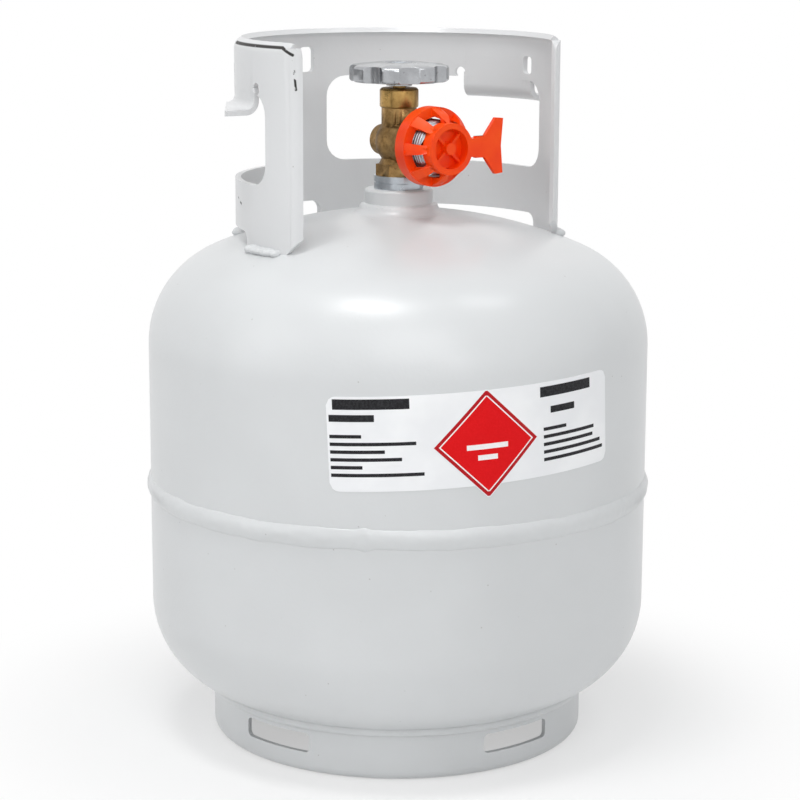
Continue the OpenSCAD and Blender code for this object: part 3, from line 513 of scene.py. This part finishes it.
maker = bmesh.new()
LINE = 0.0045
bars = [(-0.082, -0.042, 0.023, 0.003), (-0.084, -0.061, 0.015, 0.002),
        (0.036, 0.072, 0.022, 0.003), (0.043, 0.060, 0.011, 0.002)]
for left, top, ends in ((-0.084, LINE, (-0.068, -0.039, -0.056, -0.047, -0.068, -0.035)),
                        (0.038, 0.0, (0.054, 0.075, 0.074, 0.080, 0.082))):
    bars += [(left, right, top - LINE * k, 0.001) for k, right in enumerate(ends)]
for left, right, height, half in bars:
    lay(maker, left, right, lambda u: height - half, lambda u: height + half, 0.0002, 0.00033, 0)
for inset, which, face in ((0.0006, 1, 0.00033), (0.0034, 2, 0.00035), (0.0044, 3, 0.00037)):
    reach = SQUARE - inset
    lay(maker, BESIDE - reach, BESIDE + reach, lambda u: abs(u - BESIDE) - reach - BELOW,
        lambda u: reach - abs(u - BESIDE) - BELOW, 0.0002, face, which)
for half, height in ((0.0125, 0.0015), (0.006, 0.0078)):
    lay(maker, BESIDE - half, BESIDE + half, lambda u: -height - 0.0015 - BELOW,
        lambda u: -height + 0.0015 - BELOW, 0.0002, 0.00039, 2)
bmesh.ops.recalc_face_normals(maker, faces=maker.faces)
print_inks = placed("label_inks", maker, ink("black_ink", colour(28, 28, 30), colour(52, 52, 55)),
                    "vessel", "sticker_print", "sticker")
for finish in (ink("dark_red_ink", colour(178, 12, 22), colour(190, 26, 34)),
               ink("white_ink", colour(244, 240, 240), colour(250, 248, 248)),
               ink("red_ink", colour(222, 6, 14), colour(228, 16, 22))):
    print_inks.data.materials.append(finish)

# ---- valve ----
# A forged brass body screwed into the boss over a zinc-plated ring, its bonnet nut on top. Raw
# forging skin is dull and speckled; only turned faces are bright.


def brass(name, light, deep, rough, forging):
    finish, tree, shader, place = new_finish(name)
    stain = grain(tree, place, 55, 5, 0.62)
    shade = blend(tree, fade(tree, stain, 0.34, 0.68), deep, light)
    pits = fade(tree, grain(tree, place, 520, 3, 0.6), 0.56, 0.7)
    shade = blend(tree, calc(tree, "MULTIPLY", pits, 0.45), shade, [c * 0.35 for c in deep[:3]] + [1])
    tree.links.new(shade, shader.inputs["Base Color"])
    tree.links.new(fade(tree, stain, 0.3, 0.7, rough + 0.12, rough - 0.04), shader.inputs["Roughness"])
    bump = add(tree, "ShaderNodeBump", {"Strength": 0.7, "Distance": forging,
               "Height": calc(tree, "ADD", grain(tree, place, 260, 4, 0.6), grain(tree, place, 900, 2))})
    tree.links.new(bump.outputs[0], shader.inputs["Normal"])
    shader.inputs["Metallic"].default_value = 1.0
    return finish


def bright_metal(name, shade, rough, spread=0.06, pitted=0.0):
    finish, tree, shader, place = new_finish(name)
    cloud = grain(tree, place, 90, 4, 0.6)
    tint = blend(tree, fade(tree, cloud, 0.3, 0.7), [c * 0.8 for c in shade[:3]] + [1], shade)
    if pitted:
        pits = fade(tree, grain(tree, place, 330, 2), 0.66, 0.7)
        tint = blend(tree, calc(tree, "MULTIPLY", pits, pitted), tint, (0.03, 0.03, 0.03, 1))
    tree.links.new(tint, shader.inputs["Base Color"])
    tree.links.new(fade(tree, cloud, 0.25, 0.75, rough - spread, rough + spread), shader.inputs["Roughness"])
    bump = add(tree, "ShaderNodeBump", {"Strength": 0.35, "Distance": 0.00008,
               "Height": grain(tree, place, 240, 3)})
    tree.links.new(bump.outputs[0], shader.inputs["Normal"])
    shader.inputs["Metallic"].default_value = 1.0
    return finish


forged = brass("forged_brass", colour(186, 150, 98), colour(118, 92, 56), 0.38, 0.0002)
turned = brass("turned_brass", colour(196, 160, 98), colour(140, 106, 60), 0.3, 0.00006)
zinc = bright_metal("zinc_plate", colour(188, 194, 200), 0.3)
cast = bright_metal("die_cast_alloy", colour(182, 184, 187), 0.22, pitted=0.3)
from_cad("valve_body", "forged_body", forged, "vessel", "brass", 0.0004)
from_cad("wrench_collar", "plated_ring", zinc, "vessel", "plated_steel", 0.0004)
from_cad("bonnet_nut", "bonnet_band", turned, "vessel", "brass", 0.0004)
from_cad("relief_retainer", "relief_plug", turned, "vessel", "brass", 0.0003)
from_cad("bleeder_screw", "bleed_screw", turned, "bleeder", "brass", 0.0003)
from_cad("handwheel", "cast_handwheel", cast, "handwheel", "cast_alloy", 0.0012, 3)
from_cad("handwheel_screw", "wheel_screw", zinc, "handwheel", "plated_steel", 0.0002)

# ---- outlet nipple ----
# A plated steel sleeve round the outlet, rolled outside with a fine rounded thread that the
# hose's hand nut runs on. The thread runs out before the sleeve's end.

nip_low, nip_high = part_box("outlet_nipple")
NIPPLE = (nip_high.x - nip_low.x) / 2
NIPPLE_LONG = nip_high.y - nip_low.y
OUTLET_Z = (nip_high.z + nip_low.z) / 2
BORE, PITCH, RIDGE = 0.0137, 0.0024, 0.0007
outer_skin = NIPPLE - RIDGE
sleeve = bpy.data.meshes.new("plain_sleeve")
spun([(BORE, 0), (outer_skin, 0), (outer_skin, NIPPLE_LONG - 0.001), (outer_skin - 0.0007, NIPPLE_LONG),
      (BORE, NIPPLE_LONG)], 96).to_mesh(sleeve)
thread, settings = node_tree("rolled_thread", ("Float", "Radius"), ("Float", "Turns"), ("Float", "Length"),
                             ("Float", "Ridge"), ("Material", "Finish"))
helix = add(thread, "GeometryNodeCurveSpiral", {"Resolution": 72, "Rotations": settings["Turns"],
            "Start Radius": settings["Radius"], "End Radius": settings["Radius"],
            "Height": settings["Length"]}).outputs[0]
crest = add(thread, "GeometryNodeCurvePrimitiveCircle", {"Resolution": 10,
            "Radius": settings["Ridge"]}).outputs[0]
wound = add(thread, "GeometryNodeCurveToMesh", {"Curve": helix, "Profile Curve": crest,
            "Fill Caps": True}).outputs[0]
wound = add(thread, "GeometryNodeTransform", {"Geometry": wound, "Translation": (0, 0, 0.0008)}).outputs[0]
joined = thread.nodes.new("GeometryNodeJoinGeometry")
for part in (settings["Geometry"], wound):
    thread.links.new(part, joined.inputs[0])
ends_with(thread, joined.outputs[0], settings["Finish"])
run_out = NIPPLE_LONG - 0.0028
maker = grown(thread, {"Radius": outer_skin, "Turns": run_out / PITCH, "Length": run_out, "Ridge": RIDGE,
              "Finish": zinc}, sleeve)
maker.transform(Matrix(((1, 0, 0, 0), (0, 0, -1, nip_high.y), (0, 1, 0, OUTLET_Z), (0, 0, 0, 1))))
bmesh.ops.recalc_face_normals(maker, faces=maker.faces)
placed("threaded_nipple", maker, zinc, "vessel", "plated_steel", "outlet_nipple", angle=50)

# ---- dust cap ----
# One orange moulding pushed over the outlet: a cage of ribs, a front ring with a pin in its
# recess, and a flat fish-tail tab to pull it by.

safety_orange, tree, shader, place = new_finish("orange_moulding")
flow = grain(tree, place, 45, 3)
tree.links.new(blend(tree, fade(tree, flow, 0.3, 0.7), colour(246, 62, 1), colour(252, 80, 4)),
               shader.inputs["Base Color"])
tree.links.new(fade(tree, flow, 0.3, 0.7, 0.34, 0.46), shader.inputs["Roughness"])
skin = add(tree, "ShaderNodeBump", {"Strength": 0.3, "Distance": 0.00006,
           "Height": grain(tree, place, 700, 3)})
tree.links.new(skin.outputs[0], shader.inputs["Normal"])
shader.inputs["Specular IOR Level"].default_value = 0.3
shader.inputs["Subsurface Weight"].default_value = 0.04
shader.inputs["Subsurface Radius"].default_value = (0.004, 0.0012, 0.0004)
from_cad("outlet_cap", "caged_cap", safety_orange, "outlet_cap", "orange_plastic", 0.0005)

# ---- inside the valve and vessel ----
# Spindles, plug, seals and the overfill stop are out of sight in use, and keep the CAD's own
# meshes with the finish of each real piece. The two springs keep the CAD's coils and are given no body.


def plastic(name, light, deep, rough, scale):
    finish, tree, shader, place = new_finish(name)
    flow = grain(tree, place, scale, 3)
    tree.links.new(blend(tree, fade(tree, flow, 0.3, 0.7), deep, light), shader.inputs["Base Color"])
    tree.links.new(fade(tree, flow, 0.3, 0.7, rough - 0.06, rough + 0.06), shader.inputs["Roughness"])
    bump = add(tree, "ShaderNodeBump", {"Strength": 0.4, "Distance": 0.00008,
               "Height": grain(tree, place, scale * 9, 3)})
    tree.links.new(bump.outputs[0], shader.inputs["Normal"])
    return finish


rubber = plastic("nitrile_rubber", colour(46, 46, 48), colour(30, 30, 32), 0.6, 140)
acetal = plastic("pale_acetal", colour(226, 222, 208), colour(206, 202, 188), 0.42, 60)
foam = plastic("closed_cell_foam", colour(66, 62, 58), colour(44, 41, 39), 0.75, 300)
spring_steel = bright_metal("spring_wire", colour(158, 160, 164), 0.26)
for finish, names in ((turned, ("check_poppet", "upper_spindle", "lower_spindle")),
                      (rubber, ("outlet_seal", "relief_poppet", "spindle_ring", "seat_disc")),
                      (spring_steel, ("arm_pin",)),
                      (acetal, ("stop_housing", "level_tube", "stop_plunger", "float_arm")),
                      (foam, ("float",))):
    for node in names:
        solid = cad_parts[node].data
        solid.materials.clear()
        solid.materials.append(finish)

for node, poppet in (("check_spring", "check"), ("relief_spring", "relief")):
    low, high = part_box(node)
    maker = bmesh.new()
    maker.from_mesh(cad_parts[node].data)
    bmesh.ops.remove_doubles(maker, verts=maker.verts, dist=2e-6)
    wire = placed(node + "_coil", maker, spring_steel, None, "plated_steel", node, angle=70)
    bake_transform(wire)
